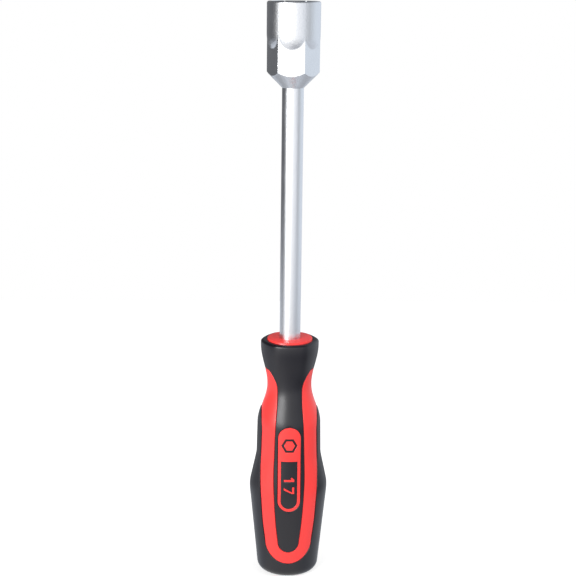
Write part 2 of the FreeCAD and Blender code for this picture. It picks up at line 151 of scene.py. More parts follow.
class SoftPartSizes(bpy.types.PropertyGroup):
    wall: size("Soft wall", 1.4, "Depth of the soft parts under the surface")
    pad_stand: size("Pad stand", 0.24, "How far the side pads stand proud")
    butt_wall: size("Butt wall", 3.0, "Soft material under the core's end")
    tongue_bottom: size("Tongue bottom", 13.4, "Lowest place of the tongue")
    tongue_end_radius: size("Tongue end radius", 4.95, "Its round end")
    skirt: size("Collar skirt", 99.5, "Height of the collar's lower edge at the sides")
    skirt_half_width: size("Skirt half width", 9.4, "Where the tongue's sweep meets that edge")
    sweep_rise: size("Sweep rise", 9.1, "Height of the sweep from the tongue to that edge")
    band_end_width: size("Band end width", 5.7, "Red band below the tongue")
    pad_spring: size("Pad spring", 71.0, "Height where the pads' arched tops start")
    pad_arch: size("Pad arch", 10.0, "Height of the arches")
    soft_rim: size("Soft rim", 0.4, "Rounded edges of the soft parts")
    seam: size("Seam", 0.18, "Gap between the soft parts and the red bands")
    hard_rim: size("Hard rim", 0.22, "Rounded edges of the red parts")


class BadgeSizes(bpy.types.PropertyGroup):
    width: size("Badge width", 10.3, "Width of the red plate")
    bottom: size("Badge bottom", 34.5, "Height of its lower end")
    length: size("Badge length", 40.5, "Length of the plate")
    field_rim: size("Field rim", 1.35, "Red rim left round the black field")
    field_length: size("Field length", 23.0, "Length of the black field")
    inlay_depth: size("Inlay depth", 0.9, "Thickness of the black inlays")
    inlay_sink: size("Inlay sink", 0.08, "How far the inlays lie under the plate")
    symbol_across_flats: size("Symbol across flats", 6.4, "Plain hexagon ring")
    symbol_stroke: size("Symbol stroke", 1.0, "Width of its line")
    symbol_gap: size("Symbol gap", 4.4, "From the field to the ring")
    figure_height: size("Figure height", 4.8, "Height of the plain figures")
    figure_width: size("Figure width", 3.2, "Width of a figure")
    figure_stroke: size("Figure stroke", 0.95, "Width of its line")
    figure_gap: size("Figure gap", 1.5, "Between the figures")
    fine_rim: size("Fine rim", 0.1, "Rounded edges inside the badge")


class Finishes(bpy.types.PropertyGroup):
    chrome: colour("Chrome", "#D8DADD", "Matt chrome plate")
    red: colour("Red", "#FC3E3B", "Moulded polypropylene")
    black: colour("Black", "#0E0D15", "Moulded thermoplastic elastomer")
    hidden: colour("Core", "#5B5C5E", "Glass-filled polyamide of the inner core")


class StageSizes(bpy.types.PropertyGroup):
    camera_distance: size("Camera distance", 555.4, "From the tool's axis, level")
    camera_height: size("Camera height", 275.2, "Above the floor")
    camera_azimuth: turn("Camera azimuth", -1.7, "Round the tool, from the front towards +X")
    camera_tilt: turn("Camera tilt", 14.0, "How far it looks down")
    camera_yaw: turn("Camera yaw", 0.1176, "How far it looks to the left of the tool")
    camera_roll: turn("Camera roll", 0.68, "How far it leans to the left")
    lens: FloatProperty(name="Lens", description="Focal length in millimetres", default=79.4,
                        unit="CAMERA")
    floor_size: size("Floor size", 1000.0, "Width of the floor")


# ---- numbers ----

def soft_min(a, b, blend):
    """The lower of two values, with the change between them spread over blend."""
    near = np.maximum(blend - np.abs(a - b), 0.0)
    return np.minimum(a, b) - near ** 2 / (4 * blend)


def soft_max(a, b, blend):
    """The higher of two values, with the change between them spread over blend."""
    return -soft_min(-a, -b, blend)


def ease(low, high, share):
    """A smooth S-shaped run from low to high as share goes from 0 to 1."""
    return low + (high - low) * (1 - np.cos(np.pi * np.clip(share, 0.0, 1.0))) / 2


def past(z, knee, spread):
    """How far z is beyond the knee, with the bend spread that far each way."""
    beyond = z - knee
    bend = (beyond + spread) ** 2 / (4 * spread)
    return np.where(beyond < -spread, 0.0, np.where(beyond > spread, beyond, bend))


def through(places, z):
    """A smooth curve x(z) through a few places, given as height and half width."""
    heights, values = (np.array(column) for column in zip(*places))
    slopes = np.gradient(values, heights)
    i = np.clip(np.searchsorted(heights, z) - 1, 0, len(heights) - 2)
    step = heights[i + 1] - heights[i]
    t = (z - heights[i]) / step
    return ((1 + 2 * t) * (1 - t) ** 2 * values[i] + t * (1 - t) ** 2 * step * slopes[i]
            + t ** 2 * (3 - 2 * t) * values[i + 1] + t ** 2 * (t - 1) * step * slopes[i + 1])


def off_middle(angle):
    """How far an angle is from the middle of the nearest of six sides, one of which is at angle 0."""
    return (angle + np.pi / 6) % (np.pi / 3) - np.pi / 6


def hexagon(across_flats, angle):
    """Distance from the axis to a hexagon with a flat at angle 0."""
    return across_flats / 2 / np.cos(off_middle(angle))


def full_turn(step):
    """Angles once round the tool, this many degrees apart."""
    return np.radians(np.arange(0, 360, step))


def quarter_turn(step):
    """Angles over a quarter of a turn, both ends included, this many degrees apart."""
    return np.radians(np.arange(0, 91, step))


def around(radius, angle, z):
    """Points by their distance from the tool's axis, their angle round it and their height."""
    return np.stack([radius * np.sin(angle), -radius * np.cos(angle), z + 0 * angle], axis=-1)


# ---- the grip's form ----

HEXAGON_BY = 0.75  # the share of the collar's flare over which the oval turns into a hexagon
FIND_ROUNDS = 30   # steps in which an angle on the surface is found from its x


def grip_profile(g, z, butt, bulge, waist, shoulder, collar):
    """Half the grip's width or depth at height z."""
    rise = (bulge - butt) / g.bulge_low
    fall = (bulge - waist) / (g.waist_low - g.bulge_high)
    lower = butt + rise * (z - past(z, g.bulge_low, g.bulge_edge))
    lower -= fall * (past(z, g.bulge_high, g.bulge_edge) - past(z, g.waist_low, g.bulge_edge))
    lower -= (waist - shoulder) * np.clip((z - g.waist_low) / (g.shoulder - g.waist_low), 0.0, 1.0)
    upper = ease(shoulder, g.neck_radius, (z - g.shoulder) / (g.neck - g.shoulder))
    flare = ease(g.neck_radius, collar, (z - g.neck) / g.neck_flare)
    return np.where(z < g.shoulder, lower, np.where(z < g.neck, upper, flare))


def collar_section(g, angle):
    """Distance from the axis to the collar's hexagon with bowed sides, which has a corner at +X."""
    middle = g.collar_across_flats / 2
    behind = g.collar_side_radius - middle
    sides = []
    for centre in (0.0, np.pi / 3, -np.pi / 3):
        off = off_middle(angle) - centre
        reach = np.sqrt(g.collar_side_radius ** 2 - (behind * np.sin(off)) ** 2)
        sides.append(reach - behind * np.cos(off))
    return soft_min(sides[0], np.minimum(sides[1], sides[2]), g.collar_corner)


def form_radius(g, angle, z):
    """Distance from the axis to the grip's surface: an oval that turns into the collar's hexagon."""
    corner = collar_section(g, np.pi / 2)
    wide = grip_profile(g, z, g.butt_half_width, g.bulge_half_width, g.waist_half_width,
                        g.shoulder_half_width, corner)
    deep = grip_profile(g, z, g.butt_half_depth, g.bulge_half_depth, g.waist_half_depth,
                        g.shoulder_half_depth, corner)
    oval = wide * deep / np.hypot(deep * np.sin(angle), wide * np.cos(angle))
    bowed = wide * collar_section(g, angle) / corner
    return ease(oval, bowed, (z - g.neck) / (HEXAGON_BY * g.neck_flare))


def on_grip(g, angle, z, lift=0.0):
    """Points on the grip's surface, or lifted off it."""
    angle, z = np.broadcast_arrays(angle, z)
    return around(form_radius(g, angle, z) + lift, angle, z)


def angle_at(g, x, z):
    """The angle at which the grip's surface has this x at height z."""
    angle = np.arcsin(np.clip(x / g.shoulder_half_width, -0.99, 0.99))
    for _ in range(FIND_ROUNDS):
        angle = np.arcsin(np.clip(x / form_radius(g, angle, z), -0.999, 0.999))
    return angle


def mirrored(rows):
    """Rows of angles for the other side of the grip, seen from +X."""
    return np.pi - rows[:, ::-1]


# ---- outlines of the soft parts, as angle and height over a quarter of the way round ----

ARC_STEPS = 18
RUN_STEPS = 56
SWEEP_STEPS = 30
SKIRT_STEPS = 10
NECK_HALF_WIDTH = 5.7 * MM
# heights and half widths, in millimetres, that the tongue's and the pad's long edges pass through
TONGUE_STATIONS = ((25.9, 5.87), (33.8, 6.5), (41.7, 6.97), (49.4, 7.25), (63.0, 6.93), (70.7, 6.7),
                   (78.0, 6.3), (84.9, 5.8))
PAD_STATIONS = ((29.6, 12.0), (37.5, 12.5), (45.1, 12.97), (52.9, 13.05), (60.8, 12.75))
PAD_TOP_HALF_WIDTH = 12.45 * MM


def band_centre(s):
    """Height of the centre that the tongue's round end and the red band's share."""
    return s.tongue_bottom + s.tongue_end_radius


def run_heights(s):
    """Heights of the points on the long edges, from the round end to where the pads' arches start."""
    return np.linspace(band_centre(s), s.pad_spring, RUN_STEPS + 1)[1:]


def stations(first, between, last):
    """Heights and half widths in metres, with the ones in between given in millimetres."""
    return [first, *((height * MM, half * MM) for height, half in between), last]


def tongue_edge(g, s):
    """The tongue's outline from its tip up to the collar's skirt, and along that to the side."""
    turn_angle = np.linspace(0, np.pi / 2, ARC_STEPS + 1)
    sweep_start = s.skirt - s.sweep_rise
    places = stations((band_centre(s), s.tongue_end_radius), TONGUE_STATIONS,
                      (sweep_start, NECK_HALF_WIDTH))
    sweep = np.linspace(s.pad_spring, s.skirt, SWEEP_STEPS + 1)[1:]
    heights = np.concatenate([run_heights(s), sweep])
    share = np.clip(1 - (s.skirt - heights) / s.sweep_rise, 0, 1)
    half = through(places, np.minimum(heights, sweep_start))
    half = half + (s.skirt_half_width - NECK_HALF_WIDTH) * share ** 2
    x = np.concatenate([s.tongue_end_radius * np.sin(turn_angle), half])
    z = np.concatenate([band_centre(s) - s.tongue_end_radius * np.cos(turn_angle), heights])
    angle = angle_at(g, x, z)
    skirt = np.linspace(angle[-1], np.pi / 2, SKIRT_STEPS + 1)[1:]
    return np.concatenate([angle, skirt]), np.concatenate([z, np.full(SKIRT_STEPS, s.skirt)])


def pad_edge(g, s):
    """The side pad's outline from the bottom of the red band up to the top of its arch."""
    turn_angle = np.linspace(0, np.pi / 2, ARC_STEPS + 1)
    radius = s.tongue_end_radius + s.band_end_width
    places = stations((band_centre(s), radius), PAD_STATIONS, (s.pad_spring, PAD_TOP_HALF_WIDTH))
    x = np.concatenate([radius * np.sin(turn_angle), through(places, run_heights(s))])
    z = np.concatenate([band_centre(s) - radius * np.cos(turn_angle), run_heights(s)])
    angle = angle_at(g, x, z)
    arch = np.linspace(0, np.pi / 2, SWEEP_STEPS + SKIRT_STEPS + 1)[1:]
    arch_angle = np.pi / 2 - (np.pi / 2 - angle[-1]) * np.cos(arch)
    arch_z = s.pad_spring + s.pad_arch * np.sin(arch)
    return np.concatenate([angle, arch_angle]), np.concatenate([z, arch_z])


# ---- meshes ----

# how far from an edge the rows of points lie that carry its rounding
RIM_STEPS = np.array([0.0, 0.05, 0.11, 0.18, 0.26, 0.36, 0.5]) * MM
WELD = 0.0005 * MM
SHARP = math.radians(35.0)


def columns(start, end, radius, count):
    """Angles from start to end for each row, close together near both edges."""
    width = (end - start) * radius
    close = np.minimum(1.0, width / (4 * RIM_STEPS[-1])) / radius
    left = start[:, None] + RIM_STEPS * close[:, None]
    right = end[:, None] - RIM_STEPS[::-1] * close[:, None]
    share = np.linspace(0, 1, count + 2)[1:-1]
    middle = left[:, -1:] + (right[:, :1] - left[:, -1:]) * share
    return np.concatenate([left, middle, right], axis=1)


def add_grid(mesh, rows):
    """Faces between rows of points that all have the same length."""
    made = [[mesh.verts.new(point) for point in row] for row in rows]
    for below, above in zip(made, made[1:]):
        for i in range(len(below) - 1):
            mesh.faces.new((below[i], below[i + 1], above[i + 1], above[i]))


def add_half_turn(mesh):
    """The same faces once more, turned half round the tool."""
    copy = bmesh.ops.duplicate(mesh, geom=mesh.verts[:] + mesh.edges[:] + mesh.faces[:])
    verts = [item for item in copy["geom"] if isinstance(item, bmesh.types.BMVert)]
    bmesh.ops.rotate(mesh, verts=verts, cent=(0, 0, 0), matrix=Matrix.Rotation(math.pi, 3, "Z"))


def weld(mesh):
    """Joins points that meet, and takes out faces with no area."""
    bmesh.ops.remove_doubles(mesh, verts=mesh.verts, dist=WELD)
    bmesh.ops.dissolve_degenerate(mesh, edges=mesh.edges, dist=WELD)


def inward(vert):
    """Which way an open edge's vertex looks into its own piece."""
    way = sum((face.calc_center_median() - vert.co for face in vert.link_faces), Vector())
    return (way - way.project(vert.normal)).normalized()


def round_rims(mesh, radius, gap):
    """Rounds a skin's open edges, and draws them in to leave a gap."""
    mesh.normal_update()
    marks = []
    for edge in mesh.edges:
        if edge.is_boundary:
            first, second = edge.verts
            steps = max(1, int(edge.calc_length() / (radius / 4)))
            for i in range(steps):
                way = inward(first).lerp(inward(second), i / steps)
                marks.append((first.co.lerp(second.co, i / steps), way))
    tree = KDTree(len(marks))
    for i, mark in enumerate(marks):
        tree.insert(mark[0], i)
    tree.balance()
    moves = []
    for vert in mesh.verts:
        nearest, distance = tree.find(vert.co)[1:]
        if distance < radius:
            drop = radius - math.sqrt(radius ** 2 - (radius - distance) ** 2)
            moves.append((vert, marks[nearest][1] * gap * (1 - distance / radius) - vert.normal * drop))
    for vert, move in moves:
        vert.co += move


def close_skin(mesh, sink):
    """Gives a skin its back and its walls. sink moves an array of points to the back."""
    skin = mesh.verts[:]
    faces = mesh.faces[:]
    open_edges = [edge for edge in mesh.edges if edge.is_boundary]
    backs = sink(np.array([vert.co for vert in skin]))
    back = {vert: mesh.verts.new(point) for vert, point in zip(skin, backs)}
    for face in faces:
        mesh.faces.new([back[vert] for vert in reversed(face.verts)])
    for edge in open_edges:
        loop = edge.link_loops[0]
        first, second = loop.vert, loop.link_loop_next.vert
        mesh.faces.new((second, first, back[first], back[second]))


def sunk(g, depth, low=-1.0, high=1.0):
    """A sink for close_skin: that deep under the grip's surface, and no lower or higher than this."""
    def sink(points):
        """Moves points straight towards the tool's axis."""
        z = np.clip(points[:, 2], low, high)
        angle = np.arctan2(points[:, 0], -points[:, 1])
        radius = np.minimum(np.hypot(points[:, 0], points[:, 1]), form_radius(g, angle, z) - depth)
        return around(radius, angle, z)
    return sink


def piece(name, mesh, material):
    """An object from a mesh in the making, smooth but for its sharp edges."""
    data = bpy.data.meshes.new(name)
    mesh.to_mesh(data)
    mesh.free()
    data.polygons.foreach_set("use_smooth", [True] * len(data.polygons))
    data.set_sharp_from_angle(angle=SHARP)
    data.materials.append(material)
    thing = bpy.data.objects.new(name, data)
    bpy.context.scene.collection.objects.link(thing)
    return thing


def joined(base, others):
    """The base joined with the others as one closed mesh."""
    for other in others:
        step = base.modifiers.new(other.name, "BOOLEAN")
        step.operation = "UNION"
        step.solver = "MANIFOLD"
        step.object = other
    graph = bpy.context.evaluated_depsgraph_get()
    data = bpy.data.meshes.new_from_object(base.evaluated_get(graph))
    base.modifiers.clear()
    base.data = data
    for other in others:
        bpy.data.objects.remove(other)
    return base


def skin_piece(name, mesh, rim, gap, sink, material):
    """A closed piece from half of its skin: turned round the tool, rounded and given its back."""
    add_half_turn(mesh)
    weld(mesh)
    round_rims(mesh, rim, gap)
    close_skin(mesh, sink)
    return piece(name, mesh, material)


def rings_mesh(rings):
    """A closed mesh from full rings of points, the first and last of which may be on the axis."""
    mesh = bmesh.new()
    add_grid(mesh, [np.vstack([ring, ring[:1]]) for ring in rings])
    weld(mesh)
    return mesh


def turned(name, outline, angles, material):
    """A closed piece from distances and heights, which start and end on the tool's axis."""
    return piece(name, rings_mesh([around(radius, angles, z) for radius, z in outline]), material)


def place(thing, node):
    """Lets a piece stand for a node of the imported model."""
    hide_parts(node)
    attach(thing, "root")


# ---- materials ----

def feed(node, inputs):
    """Gives a node's inputs their values, or joins them to a socket or to a node's own output."""
    for name, value in inputs.items():
        if isinstance(value, bpy.types.Node):
            value = next(output for output in value.outputs if output.enabled)
        if isinstance(value, bpy.types.NodeSocket):
            node.id_data.links.new(value, node.inputs[name])
        else:
            node.inputs[name].default_value = value


def add(tree, kind, inputs=None, **settings):
    """Adds a shader node with its settings, its values and its links."""
    node = tree.nodes.new("ShaderNode" + kind)
    for name, value in settings.items():
        setattr(node, name, value)
    feed(node, inputs or {})
    return node


def new_material(name):
    """A material with an empty tree, and its shader joined to the output."""
    material = bpy.data.materials.new(name)
    material.use_nodes = True
    tree = material.node_tree
    tree.nodes.clear()
    shader = add(tree, "BsdfPrincipled")
    add(tree, "OutputMaterial", {"Surface": shader})
    return material, tree, shader


def relief(tree, shader, grain, detail, strength, height):
    """Raises an even noise on a surface, with a grain of this size."""
    place_in = add(tree, "TexCoord").outputs["Object"]
    noise = add(tree, "TexNoise", {"Vector": place_in, "Scale": 1 / grain, "Detail": detail})
    bump = add(tree, "Bump", {"Height": noise, "Strength": strength, "Distance": height})
    feed(shader, {"Normal": bump})


def clouded_gloss(tree, shader, width, low, high):
    """Lets the roughness drift from low to high in clouds of this width."""
    place_in = add(tree, "TexCoord").outputs["Object"]
    cloud = add(tree, "TexNoise", {"Vector": place_in, "Scale": 1 / width, "Detail": 3.0})
    gloss = add(tree, "MapRange", {"Value": cloud, "From Min": 0.3, "From Max": 0.7,
                                   "To Min": low, "To Max": high})
    feed(shader, {"Roughness": gloss})


def drifting_colour(tree, shader, tone, width, detail, darkest):
    """Lets the colour drift darker, to this share of it, in patches of this width."""
    place_in = add(tree, "TexCoord").outputs["Object"]
    shade = add(tree, "TexNoise", {"Vector": place_in, "Scale": 1 / width, "Detail": detail})
    dark = (*(darkest * part for part in tone), 1)
    tint = add(tree, "Mix", {"Factor": shade, "A": (*tone, 1), "B": dark}, data_type="RGBA")
    feed(shader, {"Base Color": tint})


def matt_chrome_plate(finishes):
    """Chrome plate over blasted steel: a bright metal with a fine grain that breaks up reflections."""
    material, tree, shader = new_material("matt_chrome_plate")
    # the blasted grain is about 0.05 mm; it is drawn at 0.9 mm so that it shows
    relief(tree, shader, 0.9 * MM, 3.0, 1.0, 0.085 * MM)
    # faint clouds in the plate's gloss, some millimetres wide
    clouded_gloss(tree, shader, 6 * MM, 0.28, 0.34)
    feed(shader, {"Base Color": (*finishes.chrome, 1), "Metallic": 1.0})
    return material


def moulded_red_polypropylene(finishes):
    """Polypropylene from a polished mould: saturated, with a soft gloss and a faint orange peel."""
    material, tree, shader = new_material("moulded_red_polypropylene")
    relief(tree, shader, 1.2 * MM, 1.0, 0.25, 0.02 * MM)
    # the pigment's flow leaves faint darker patches
    drifting_colour(tree, shader, finishes.red, 15 * MM, 2.0, 0.93)
    feed(shader, {"Roughness": 0.33, "IOR": 1.49})
    return material


def moulded_black_elastomer(finishes):
    """Thermoplastic elastomer from a spark-eroded mould: charcoal, matt, with a fine even grain."""
    material, tree, shader = new_material("moulded_black_elastomer")
    # the mould's grain is about 0.1 mm; it is drawn at 0.35 mm so that it shows
    relief(tree, shader, 0.35 * MM, 3.0, 0.5, 0.03 * MM)
    # handling leaves the surface a little shinier in patches
    clouded_gloss(tree, shader, 9 * MM, 0.31, 0.37)
    feed(shader, {"Base Color": (*finishes.black, 1), "IOR": 1.5})
    return material


def glass_filled_polyamide(finishes):
    """Glass-filled polyamide, as moulded: grey and dull, with a mottle from its fibres."""
    material, tree, shader = new_material("glass_filled_polyamide")
    drifting_colour(tree, shader, finishes.hidden, 0.8 * MM, 4.0, 0.7)
    feed(shader, {"Roughness": 0.65})
    return material


def shared(maker):
    """A material that several pieces share, made once."""
    name = maker.__name__
    return bpy.data.materials.get(name) or maker(bpy.context.scene.driver_finishes)


# ---- steel ----

RUNOUT_SHARE = 0.6  # how far down the run-out's curve is followed, as a share of its radius


def socket_outer_radius(s, angle, z):
    """Distance from the axis to the socket's outside."""
    below = np.clip(MOUTH - s.round_length - z, 0, RUNOUT_SHARE * s.runout_radius)
    runout = ROUND_RADIUS - s.runout_radius + np.sqrt(s.runout_radius ** 2 - below ** 2)
    bar = hexagon(s.hex_across_flats, angle - s.hex_clocking)
    bar = soft_min(bar, ROUND_RADIUS - s.hex_corner_ease, s.forged_edge)
    outside = soft_max(runout, bar, s.forged_edge)
    cone = SHANK_RADIUS + (z - SOCKET_FOOT) * math.tan(s.rear_cone_angle)
    outside = soft_min(outside, cone, s.forged_edge)
    above = np.clip(z - MOUTH + s.mouth_round, 0, s.mouth_round)
    return outside - s.mouth_round + np.sqrt(s.mouth_round ** 2 - above ** 2)


def socket_heights(s):
    """Heights of the rings on the socket's outside, close together where its faces meet."""
    cone_top = SOCKET_FOOT + ROUND_RADIUS - SHANK_RADIUS
    round_end = MOUTH - s.round_length
    return np.concatenate([
        SOCKET_FOOT + np.array([0.0, 1.5, 3.0, 4.4]) * MM,                 # the plain cone
        np.arange(SOCKET_FOOT + 4.6 * MM, cone_top + 0.5 * MM, 0.12 * MM),  # where it meets the flats
        np.linspace(cone_top + 1 * MM, round_end - 7.4 * MM, 6),           # the flats
        np.arange(round_end - 7 * MM, round_end, 0.14 * MM),               # the run-out
        np.linspace(round_end, MOUTH - s.mouth_round - 0.3 * MM, 8),       # the round
        MOUTH - s.mouth_round * (1 - np.sin(quarter_turn(10))),            # the mouth's outer edge
    ])


def make_socket(s):
    """The socket with its hexagon recess and the bore behind it."""
    angles = full_turn(1.0)
    seat = SOCKET_FOOT + s.spigot_depth
    outline = [(0, seat), (SHANK_RADIUS, seat)]
    outline += [(np.maximum(socket_outer_radius(s, angles, z), SHANK_RADIUS), z)
                for z in socket_heights(s)]
    recess = hexagon(s.recess_across_flats, angles - s.hex_clocking)
    # a cone for the nut's corners leads into the recess: it starts at their distance from the axis
    lead_in = s.recess_across_flats / 2 / math.cos(math.pi / 6)
    outline += [(np.maximum(recess, lead_in - depth), MOUTH - depth)
                for depth in np.append(np.arange(0, 1.5, 0.1) * MM, s.recess_depth)]
    tip = s.stud_bore_radius * math.tan(s.drill_tip_angle)
    outline += [(s.stud_bore_radius, MOUTH - s.recess_depth),
                (s.stud_bore_radius, MOUTH - s.stud_bore_depth),
                (0, MOUTH - s.stud_bore_depth - tip)]
    return turned("socket_steel", outline, angles, shared(matt_chrome_plate))


def make_shank(s):
    """The round bar, with the two pressed ears that the grip hides."""
    foot, top = SHANK_BOX[0][2], SHANK_BOX[1][2]
    outline = [(0, foot), (SHANK_RADIUS - s.tang_end_chamfer, foot),
               (SHANK_RADIUS, foot + s.tang_end_chamfer), (SHANK_RADIUS, CORE_TOP),
               (SHANK_RADIUS, SOCKET_FOOT), (SHANK_RADIUS, top), (0, top)]
    bar = turned("shank_steel", outline, full_turn(3.75), shared(matt_chrome_plate))
    half = s.tang_ear_span / 2
    low = foot + s.tang_ear_start
    high = low + s.tang_ear_length
    slope = half - SHANK_RADIUS
    right = [(SHANK_RADIUS, low), (half, low + slope), (half, high - slope), (SHANK_RADIUS, high)]
    corners = right + [(-x, z) for x, z in reversed(right)]
    ears = bmesh.new()
    front = ears.faces.new([ears.verts.new((x, -s.tang_ear_thickness / 2, z)) for x, z in corners])
    made = bmesh.ops.extrude_face_region(ears, geom=[front])["geom"]
    bmesh.ops.translate(ears, vec=(0, s.tang_ear_thickness, 0),
                        verts=[item for item in made if isinstance(item, bmesh.types.BMVert)])
    bmesh.ops.recalc_face_normals(ears, faces=ears.faces)
    return joined(bar, [piece("ears", ears, shared(matt_chrome_plate))])


# ---- grip ----

BAND_ROWS = 18
LEG_COLUMNS = 26
PAD_COLUMNS = 60
ROOT = 1 * MM  # how far the red bands, plates and end face reach into the core's bed


def make_band(g, s):
    """The red skin between the collar with its tongues and the side pads, all the way round."""
    upper_angle, upper_z = tongue_edge(g, s)
    lower_angle, lower_z = pad_edge(g, s)
    span = np.hypot((upper_angle - lower_angle) * g.shoulder_half_depth, upper_z - lower_z)
    close = np.outer(RIM_STEPS, 1 / span)
    middle = np.linspace(0, 1, BAND_ROWS)[1:-1, None]
    share = np.vstack([close, close[-1] + (1 - 2 * close[-1]) * middle, 1 - close[::-1]])
    angle = lower_angle + (upper_angle - lower_angle) * share
    z = lower_z + (upper_z - lower_z) * share
    mesh = bmesh.new()
    add_grid(mesh, on_grip(g, angle, z))
    add_grid(mesh, on_grip(g, mirrored(angle), z[:, ::-1]))
    return skin_piece("band", mesh, s.hard_rim, 0.0, sunk(g, s.wall + ROOT),
                      shared(moulded_red_polypropylene))


def make_core(g, s, badge):
    """The red core: the bed under the soft parts, the bands, the badge plates and the end face."""
    angles = full_turn(4.0)
    bed_top = COLLAR_TOP - g.collar_cap_round
    heights = np.append(np.arange(s.butt_wall, bed_top, 1.5 * MM), bed_top)
    rings = [around(0, angles, s.butt_wall)]
    rings += [on_grip(g, angles, z, -s.wall) for z in heights]
    rings.append(around(0, angles, bed_top))
    core = piece("handle_red", rings_mesh(rings), shared(moulded_red_polypropylene))

    outline = [(0, bed_top - ROOT), (g.disc_radius, bed_top - ROOT)]
    outline += [(g.disc_radius - g.disc_edge * (1 - math.cos(t)),
                 CORE_TOP - g.disc_edge * (1 - math.sin(t))) for t in quarter_turn(22.5)]
    outline.append((0, CORE_TOP))
    disc = turned("disc", outline, full_turn(3.0), shared(moulded_red_polypropylene))
    return joined(core, [make_band(g, s), disc] + badge)


def make_collar(g, s, b):
    """The black collar with its front and back tongues, which leave room for the badges."""
    mesh = bmesh.new()
    edge_angle, edge_z = tongue_edge(g, s)
    edge_angle, edge_z = edge_angle[:-SKIRT_STEPS], edge_z[:-SKIRT_STEPS]
    radius = b.width / 2
    arc = quarter_turn(7.5)
    low, high = b.bottom + radius, b.bottom + b.length - radius
    tips = np.concatenate([low - radius * np.cos(arc), high + radius * np.cos(arc)])
    z = np.unique(np.concatenate([edge_z, tips]).round(7))
    outer = np.interp(z, edge_z, edge_angle)
    off = np.maximum(np.maximum(low - z, z - high), 0)
    inner = angle_at(g, np.sqrt(np.maximum(radius ** 2 - off ** 2, 0)), z)
    leg = columns(inner, outer, form_radius(g, outer, z), LEG_COLUMNS)
    add_grid(mesh, on_grip(g, leg, z[:, None]))
    add_grid(mesh, on_grip(g, mirrored(leg), z[:, None]))

    side = np.linspace(outer[-1], np.pi - outer[-1], 2 * SKIRT_STEPS + 1)
    half = np.concatenate([leg[-1], side[1:-1], mirrored(leg[-1:])[0]])
    plain = np.arange(s.skirt + 1.2 * MM, COLLAR_TOP - 2.2 * MM, 0.9 * MM)
    rows = [on_grip(g, half, height) for height in (*(s.skirt + RIM_STEPS), *plain)]
    cap = g.collar_cap_round
    rows += [on_grip(g, half, COLLAR_TOP - cap * (1 - math.sin(t)), -cap * (1 - math.cos(t)))
             for t in quarter_turn(10)]
    rim = np.hypot(rows[-1][:, 0], rows[-1][:, 1])
    for share in (0.25, 0.5, 0.75, 0.9, 1.0):
        rows.append(around(rim + (g.disc_radius - rim) * share, half, COLLAR_TOP))
    add_grid(mesh, rows)
    return skin_piece("collar_elastomer", mesh, s.soft_rim, s.seam,
                      sunk(g, s.wall, high=COLLAR_TOP - cap), shared(moulded_black_elastomer))


def make_pads(g, s):
    """The black side pads, joined under the butt."""
    mesh = bmesh.new()
    start, z = pad_edge(g, s)
    leg = columns(start, np.pi - start, form_radius(g, start, z), PAD_COLUMNS)
    add_grid(mesh, on_grip(g, leg, z[:, None], s.pad_stand))
    across = leg[0]
    edge = [on_grip(g, across, g.butt_round * (1 - math.cos(t)),
                    s.pad_stand - g.butt_round * (1 - math.sin(t))) for t in quarter_turn(9)[:-1]]
    flat = [edge[0] * (share, share, 1) for share in (0, 0.25, 0.5, 0.75, 0.95)]
    plain = np.linspace(g.butt_round, z[0] - 0.8 * MM, 4)
    upper = [on_grip(g, across, height, s.pad_stand) for height in (*plain, *(z[0] - RIM_STEPS)[::-1])]
    add_grid(mesh, flat + edge + upper)
    return skin_piece("pads_elastomer", mesh, s.soft_rim, s.seam, sunk(g, s.wall, low=s.butt_wall),
                      shared(moulded_black_elastomer))


# ---- badge ----

BADGE_STEP = 0.7 * MM   # size of the badge's triangles
BADGE_CLEAR = 0.4 * MM  # how far the free points inside it keep from its outline
ROUND_POINTS = 25       # points on half a circle
TOUCH = 1e-7            # points this near each other become one


def divided(corners, step):
    """A closed outline with points no further apart than step."""
    points = []
    for start, end in zip(corners, corners[1:] + corners[:1]):
        count = max(1, math.ceil((end - start).length / step))
        points += [start.lerp(end, i / count) for i in range(count)]
    return points


def half_round(half, height, start):
    """Half a circle of this half width, from this angle on."""
    return [Vector((half * math.cos(t), height + half * math.sin(t)))
            for t in np.linspace(start, start + math.pi, ROUND_POINTS)]


def slot_outline(half, low, high, round_top):
    """A slot's outline: round below, and round or flat above."""
    lower = half_round(half, low + half, math.pi)
    if round_top:
        return lower + half_round(half, high - half, 0)
    return lower + [Vector((half, high)), Vector((-half, high))]


def figure_outlines(b, middle):
    """The nut's size in plain figures, a one and a seven, read down the grip."""
    w, h, s = b.figure_width / 2, b.figure_height, b.figure_stroke
    one = [(-s / 2, 0), (s / 2, 0), (s / 2, h), (-s / 2, h), (-1.7 * s, h - 1.2 * s),
           (-1.1 * s, h - 1.8 * s), (-s / 2, h - 1.3 * s)]
    seven = [(-w, h - s), (w - 0.7 * s, h - s), (-w + 0.4 * s, 0), (-w + 1.5 * s, 0), (w, h - 0.9 * s),
             (w, h), (-w, h)]
    step = (b.figure_width + b.figure_gap) / 2
    return [[Vector((up - h / 2, place_z - along)) for along, up in outline]
            for outline, place_z in ((one, middle + step), (seven, middle - step))]


def inside(outline, x, z):
    """Whether points lie inside an outline."""
    result = np.zeros(len(x), dtype=bool)
    for a, b in zip(outline, outline[1:] + outline[:1]):
        crosses = (a.y > z) != (b.y > z)
        where = a.x + (z - a.y) * (b.x - a.x) / (b.y - a.y if b.y != a.y else 1)
        result ^= crosses & (x < where)
    return result


